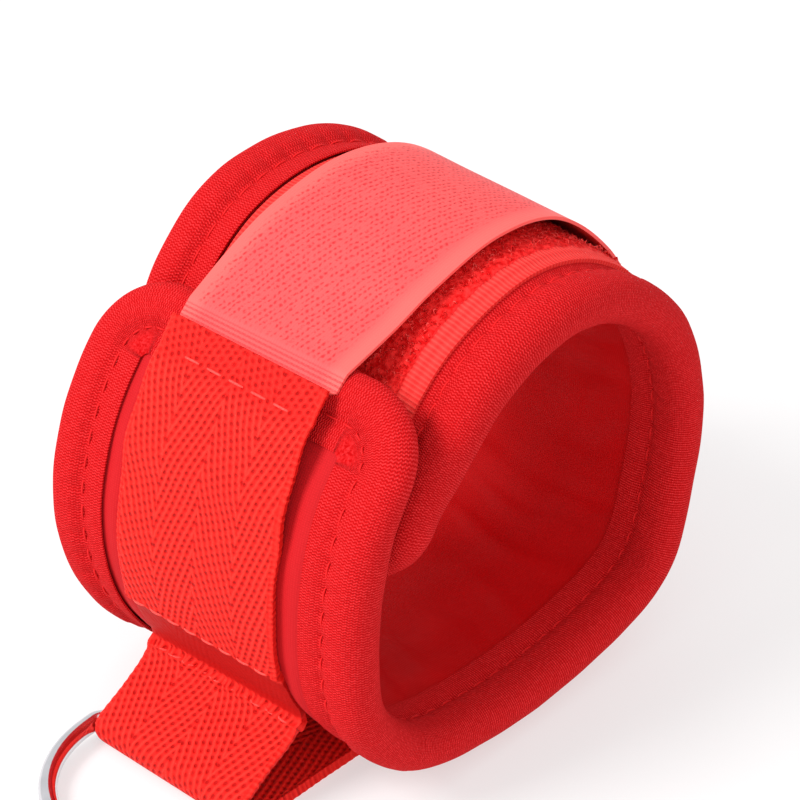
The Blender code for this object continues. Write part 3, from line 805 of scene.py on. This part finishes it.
# %% Arithmetic for patterns
class Value:
    """A number in a finish's node tree, for writing a pattern as plain arithmetic."""

    def __init__(self, tree, socket):
        self.tree, self.socket = tree, socket

    def math(self, operation, *others):
        node = self.tree.nodes.new("ShaderNodeMath")
        node.operation = operation
        for entry, item in zip(node.inputs, (self, *others)):
            if isinstance(item, Value):
                self.tree.links.new(item.socket, entry)
            else:
                entry.default_value = item
        return Value(self.tree, node.outputs[0])

    def __add__(self, other):
        return self.math("ADD", other)

    def __sub__(self, other):
        return self.math("SUBTRACT", other)

    def __mul__(self, other):
        return self.math("MULTIPLY", other)

    def __truediv__(self, other):
        return self.math("DIVIDE", other)

    def __mod__(self, other):
        return self.math("FLOORED_MODULO", other)

    def __abs__(self):
        return self.math("ABSOLUTE")

    def __invert__(self):
        return self * -1.0 + 1.0

    def floor(self):
        return self.math("FLOOR")

    def part(self):
        return self.math("FRACT")

    def wave(self):
        """0 to 1 and back, once for each whole step of the value."""
        return (self * (2 * math.pi)).math("COSINE") * 0.5 + 0.5

    def step(self, low, high):
        """0 below low and 1 above high, with an even S between."""
        node = self.tree.nodes.new("ShaderNodeMapRange")
        node.interpolation_type = "SMOOTHSTEP"
        node.inputs["From Min"].default_value = low
        node.inputs["From Max"].default_value = high
        self.tree.links.new(self.socket, node.inputs["Value"])
        return Value(self.tree, node.outputs["Result"])


def spot(x, y, wide, long):
    """1 inside a soft oval of this width and length about (0, 0), and 0 outside it."""
    x, y = x / (wide / 2), y / (long / 2)
    return ~((x * x + y * y).math("SQRT").step(0.15, 1.35))


def srgb(red, green, blue):
    return (*[((level / 255 + 0.055) / 1.055) ** 2.4 for level in (red, green, blue)], 1.0)


class Finish:
    def __init__(self, name, roughness, specular=0.25, metallic=0.0, sheen=0.0):
        self.material = bpy.data.materials.new(name)
        self.material.use_nodes = True
        self.tree = self.material.node_tree
        self.shader = self.tree.nodes["Principled BSDF"]
        self.shader.inputs["Roughness"].default_value = roughness
        self.shader.inputs["Specular IOR Level"].default_value = specular
        self.shader.inputs["Metallic"].default_value = metallic
        self.shader.inputs["Sheen Weight"].default_value = sheen
        self.shader.inputs["Sheen Roughness"].default_value = 0.4
        self.shader.inputs["Sheen Tint"].default_value = srgb(255, 120, 120)

    def flat_map(self):
        """The piece's flat place: across and along, in millimetres."""
        uv = self.tree.nodes.new("ShaderNodeUVMap")
        split = self.tree.nodes.new("ShaderNodeSeparateXYZ")
        self.tree.links.new(uv.outputs["UV"], split.inputs["Vector"])
        return [Value(self.tree, split.outputs[axis]) * 1000.0 for axis in ("X", "Y")]

    def noise(self, size, detail=2.0):
        """Soft irregularity of about this size in millimetres, around 0.5."""
        place = self.tree.nodes.new("ShaderNodeTexCoord")
        node = self.tree.nodes.new("ShaderNodeTexNoise")
        node.inputs["Scale"].default_value = 1000.0 / size
        node.inputs["Detail"].default_value = detail
        self.tree.links.new(place.outputs["Object"], node.inputs["Vector"])
        return Value(self.tree, node.outputs["Fac"])

    def mix(self, share, low, high):
        node = self.tree.nodes.new("ShaderNodeMix")
        node.data_type = "RGBA"
        self.tree.links.new(share.socket, node.inputs[0])
        for entry, colour in ((node.inputs[6], low), (node.inputs[7], high)):
            if isinstance(colour, tuple):
                entry.default_value = colour
            else:
                self.tree.links.new(colour, entry)
        return node.outputs[2]

    def colour(self, socket):
        self.tree.links.new(socket, self.shader.inputs["Base Color"])

    def roughness(self, value):
        self.tree.links.new(value.socket, self.shader.inputs["Roughness"])

    def relief(self, height, depth):
        """Fine relief of this depth in millimetres, for a height of 0 to 1."""
        bump = self.tree.nodes.new("ShaderNodeBump")
        bump.inputs["Distance"].default_value = depth * MM
        bump.inputs["Strength"].default_value = 1.0
        self.tree.links.new(height.socket, bump.inputs["Height"])
        self.tree.links.new(bump.outputs["Normal"], self.shader.inputs["Normal"])

    def on(self, *pieces):
        for piece in pieces:
            piece.data.materials.clear()
            piece.data.materials.append(self.material)
        print(self.material.name, "is on", ", ".join(piece.name for piece in pieces))


# %% [markdown]
# ## Webbing
# The webbing is woven in four chevron bands. Raised ribs climb away from two lines, and meet again in the
# middle and at the edges. Little openings sit in the grooves, each row half a step from the next; they are
# real gaps in the weave, sunk in the relief, and their dark colour is painted shade.
# Between the two rows of stitches the weave is drawn in, so its ribs almost vanish; that band is also
# painted a darker red, as painted shade.

# %% Webbing finish
CHEVRON_WIDE = 18.4
RIB_SLOPE = 0.364
WEB_RIB, WEB_BEAD = 1.42, 1.36
web = Finish("webbing", roughness=0.65, specular=0.12, sheen=0.03)
u, v = web.flat_map()
chevron = abs((u + CHEVRON_WIDE) % CHEVRON_WIDE - CHEVRON_WIDE / 2)
rib = (chevron - v * RIB_SLOPE) / WEB_RIB + (web.noise(7.0) - 0.5) * 0.5
crest = rib.wave()
beads = v / WEB_BEAD + rib.floor() * 0.5 + (web.noise(2.6) - 0.5) * 0.6
near_end = v.step(strap.length / MM - 10.0, strap.length / MM - 6.0)
crest = crest * ~(near_end * 0.6)
# Openings in the weave: the mask sinks them in the relief (real) and darkens them (painted shade).
opening_and_shade = spot((rib.part() - 0.5) * WEB_RIB, (beads.part() - 0.5) * WEB_BEAD, 0.72, 0.74)
opening_and_shade = opening_and_shade * (web.noise(1.8).step(0.2, 0.65) * 0.6 + 0.4)
edge = abs(u).step(16.9, 17.6)
border = (v / 1.1).wave() * 0.5 + (u / 0.95).wave() * 0.5
crest = crest * ~edge + border * edge
opening_and_shade = opening_and_shade * ~(edge * 0.6)
valley_from, valley_to = LOWER_ROW / MM, UPPER_ROW / MM
# The drawn-in band between the rows: it flattens the weave (real) and darkens the colour (painted shade).
drawn_in_and_shade = v.step(valley_from, valley_from + 1.2) * ~v.step(valley_to - 1.6, valley_to - 0.2)
weave = ~(drawn_in_and_shade * 0.85)
opening_and_shade = opening_and_shade * weave
fuzz = web.noise(0.35, 3.0)
tone = (crest * 0.75 + beads.wave() * 0.25) * weave + drawn_in_and_shade * 0.25 + (fuzz - 0.5) * 0.5
base = web.mix(tone, srgb(214, 14, 12), srgb(255, 52, 42))
# Painted shade: the drawn-in band is darkened towards a deep red.
base = web.mix(drawn_in_and_shade * 0.92, base, srgb(176, 8, 5))
# Painted shade: the openings are darkened towards a deep red.
web.colour(web.mix(opening_and_shade * (near_end * 0.25 + 0.6), base, srgb(164, 0, 2)))
web.relief(crest * weave * 0.5 + beads.wave() * weave * 0.14 - opening_and_shade * 0.45 + fuzz * 0.2, 0.5)
web.on(webbing)

# %% [markdown]
# ## Knits
# The binding is a jersey with its little zigzag rows showing, and its ribs run across the roll on the inner
# side, where it is stretched. Its loops are painted lighter on their crests and darker between them, as
# painted highlight and painted shade over the knit's real relief. The cover is a much finer and smoother
# knit laminated to foam. The lining is the same cloth in a deeper red.

# %% Binding finishes
def binding_finish(piece, straight):
    """The knit of one binding. Its flange is gathered at the two corners after a straight of this length."""
    knit = Finish("binding_knit", roughness=0.8, specular=0.04, sheen=0.02)
    u, v = knit.flat_map()
    outer = ~u.step(13.0, 19.0)
    zigzag = abs((u / 0.90).part() - 0.5) * (outer * 0.85 + 0.12)
    row = (v / 0.50 + zigzag + knit.noise(4.0) * 0.8).wave()
    loops = row * ((u / 0.45).wave() * 0.5 + 0.5)
    specks = knit.noise(0.45, 1.0).step(0.35, 0.68)
    quarter, tip = CORNER * math.pi / 2 / MM, 2 * (RIM_ACROSS - CORNER) / MM
    middles = [straight / MM + quarter / 2, straight / MM + quarter * 1.5 + tip]
    first, second = [~abs(v - middle).step(quarter / 2 - 4, quarter / 2) for middle in middles]
    gathered = (first + second) * ~u.step(2.5, 5.0)
    loops = loops * ~gathered + knit.noise(0.5, 1.0).step(0.3, 0.7) * gathered * 0.5
    tone = loops * (specks * 0.5 + 0.5)
    # Painted highlight and shade: the loop crests take the light red and the gaps between them the dark red.
    knit.colour(knit.mix(tone, srgb(184, 3, 8), srgb(255, 62, 66)))
    knit.relief(loops + specks * 0.3, 0.16)
    knit.on(piece)


binding_finish(cuff_binding, SPLIT - CORNER)
binding_finish(flap_binding, TIP - SPLIT - CORNER)

# %% Cover finish
cover = Finish("cover_knit", roughness=0.7, specular=0.10, sheen=0.04)
u, v = cover.flat_map()
fine = (u / 0.5).wave() * (v / 0.42).wave()
cloud = cover.noise(14.0, 2.0)
grain = cover.noise(0.4, 2.0)
tone = fine * 0.35 + cloud * 0.35 + grain * 0.3
cover.colour(cover.mix(tone, srgb(178, 16, 22), srgb(212, 36, 42)))
cover.relief(fine * 0.6 + grain * 0.4, 0.06)
cover.on(cuff_cover, flap_cover)

# %% Lining finish
inside = Finish("lining_fabric", roughness=0.6, specular=0.10, sheen=0.03)
u, v = inside.flat_map()
fine = (u / 0.5).wave() * (v / 0.42).wave()
cloud = inside.noise(11.0, 3.0)
tone = cloud * 0.6 + fine * 0.25 + inside.noise(0.4, 2.0) * 0.15
inside.colour(inside.mix(tone, srgb(176, 1, 6), srgb(216, 10, 16)))
inside.relief(fine * 0.5 + cloud * 1.5, 0.08)
inside.on(cuff_lining, flap_lining)

# %% Foam finish
core = Finish("foam", roughness=0.95, specular=0.1)
pore = core.noise(0.8, 1.0).step(0.42, 0.58)
core.colour(core.mix(pore, srgb(150, 148, 142), srgb(206, 203, 194)))
core.relief(pore, 0.2)
core.on(cuff_foam, flap_foam)

# %% [markdown]
# ## The two tapes
# The loop tape's selvage is brighter than its field and finely ribbed across. Its field is brushed, deep
# red between the loops and light on their tips. The closing tape's back is a paler coral, with the small
# marks of the weave in slanting rows, plain margins, and a few ribs where it leaves the webbing.

# %% Loop tape finish
pile = Finish("loop_tape", roughness=0.8, specular=0.10, sheen=0.06)
u, v = pile.flat_map()
selvage = abs(u - 1.1).step(20.6, 21.0)
ribs = (v / 0.78 + pile.noise(6.0) * 0.4).wave()
ribs_long = (u / 1.9).wave()
brushed = pile.noise(1.0, 3.0)
field = pile.mix(brushed.step(0.35, 0.7), srgb(206, 10, 12), srgb(255, 52, 50))
band_tone = ribs * 0.55 + ribs_long * 0.2 + pile.noise(0.4) * 0.25
ribbed = pile.mix(band_tone, srgb(226, 34, 34), srgb(255, 80, 74))
pile.colour(pile.mix(selvage, field, ribbed))
pile.relief(selvage * ribs * 0.5 + ~selvage * brushed * 1.6, 0.3)
pile.on(loop_tape)

# %% Loop finish
fibre = Finish("loop_fibre", roughness=0.55, specular=0.2, sheen=0.1)
light_tips = fibre.noise(0.9, 1.0).step(0.4, 0.66)
fibre.colour(fibre.mix(light_tips, srgb(226, 16, 18), srgb(255, 86, 80)))
fibre.relief(fibre.noise(0.15), 0.05)
fibre.on(loop_pile)

# %% Closing tape finish
MARK_ACROSS, MARK_ALONG = 1.22, 1.02
RIB_PITCH = 0.82
hooks = Finish("hook_tape_back", roughness=0.5, specular=0.15)
u, v = hooks.flat_map()
row_at = (v / MARK_ALONG).floor()
shift = row_at * 0.27 + (row_at % 2.0) * 0.5
wander = (hooks.noise(1.7) - 0.5) * 1.1
jitter = (hooks.noise(1.4, 1.0) - 0.5) * 0.9
mark_u = ((u / MARK_ACROSS + shift + wander).part() - 0.5) * MARK_ACROSS
mark_v = ((v / MARK_ALONG + jitter).part() - 0.5) * MARK_ALONG
mark = spot(mark_u, mark_v, 0.62, 0.95)
mark = mark * ~abs(u + 1.0).step(14.6, 16.2) * hooks.noise(1.3).step(0.34, 0.52)
base_at = TAPE_BASE / MM
free_part = v.step(base_at - 0.4, base_at + 0.8)
mark = mark * free_part
lines = ((v - base_at) / RIB_PITCH).wave().step(0.35, 0.95) * ~v.step(base_at - 1.1, base_at - 0.5)
dashes = lines * ((u / 1.25 + (v / RIB_PITCH).floor() * 0.5).wave() * 0.4 + 0.6)
tone = hooks.noise(7.0) * 0.6 + (u / 0.55).wave() * 0.2 + hooks.noise(0.4) * 0.2
coral = hooks.mix(tone, srgb(246, 78, 80), srgb(252, 92, 90))
coral = hooks.mix(abs(u).step(13.5, 17.0) * 0.8, coral, srgb(254, 104, 98))
coral = hooks.mix(mark * 0.8, coral, srgb(186, 26, 36))
hooks.colour(hooks.mix(dashes * 0.75, coral, srgb(206, 46, 52)))
hooks.relief(~mark * 0.5 + ~dashes * 0.35 + (u / 0.55).wave() * 0.12, 0.16)
hooks.on(hook_tape)

# %% [markdown]
# ## Thread and chrome
# The thread is a slightly shiny polyester. On the webbing it is thick and a touch lighter than the cloth,
# and on the binding it is fine and sinks in. The ring is bright chrome, with the faint clouding and
# hairlines that handled chrome has.

# %% Thread and chrome finishes
thread = Finish("thread", roughness=0.5, specular=0.2)
twist = thread.noise(0.3, 1.0)
thread.colour(thread.mix(twist, srgb(232, 34, 32), srgb(255, 96, 88)))
thread.relief(twist, 0.06)
thread.on(end_stitches, upper_stitches, lower_stitches)

fine_thread = Finish("fine_thread", roughness=0.6, specular=0.1)
twist = fine_thread.noise(0.3, 1.0)
fine_thread.colour(fine_thread.mix(twist, srgb(196, 8, 12), srgb(246, 48, 50)))
fine_thread.relief(twist, 0.06)
fine_thread.on(cuff_binding_stitches, flap_binding_stitches, loop_stitches)

chrome = Finish("chromed_wire", roughness=0.12, specular=0.5, metallic=1.0)
clouding = chrome.noise(3.0, 4.0)
chrome.colour(chrome.mix(clouding, srgb(205, 206, 210), srgb(232, 232, 236)))
chrome.roughness(clouding * 0.16 + 0.05)
chrome.relief(chrome.noise(0.6, 2.0), 0.01)
chrome.on(ring)

# %% [markdown]
# ## The studio
# A pale sweep and soft light from all round keep the reds clear. One large lamp high on the left gives the
# folds their shade and lets a faint shadow fall to the right.

# %% Light and floor
scene = bpy.context.scene
scene.view_settings.view_transform = "Standard"
world = bpy.data.worlds.new("soft_white")
world.use_nodes = True
sky = world.node_tree.nodes["Background"]
sky.inputs["Color"].default_value = (1.0, 0.985, 0.99, 1.0)
sky.inputs["Strength"].default_value = 0.85
scene.world = world

deselect()
bpy.ops.mesh.primitive_plane_add(size=6.0)
floor = bpy.context.object
floor.name = "floor"
paper = Finish("paper", roughness=0.9, specular=0.05)
pale, paler = (0.39, 0.39, 0.39, 1.0), (0.41, 0.41, 0.41, 1.0)
paper.colour(paper.mix(paper.noise(40.0, 2.0), pale, paler))
paper.shader.inputs["Emission Color"].default_value = (1.0, 1.0, 1.0, 1.0)
paper.shader.inputs["Emission Strength"].default_value = 0.55
paper.on(floor)


def lamp(name, place, size, energy):
    light = bpy.data.lights.new(name, "AREA")
    light.size = size
    light.energy = energy
    holder = bpy.data.objects.new(name, light)
    bpy.context.collection.objects.link(holder)
    holder.location = place
    holder.rotation_euler = (aim - Vector(place)).to_track_quat("-Z", "Y").to_euler()


lamp("key", (-0.35, -0.75, 0.85), 0.45, 11.0)
lamp("fill", (0.9, -0.6, 0.7), 0.9, 2.0)
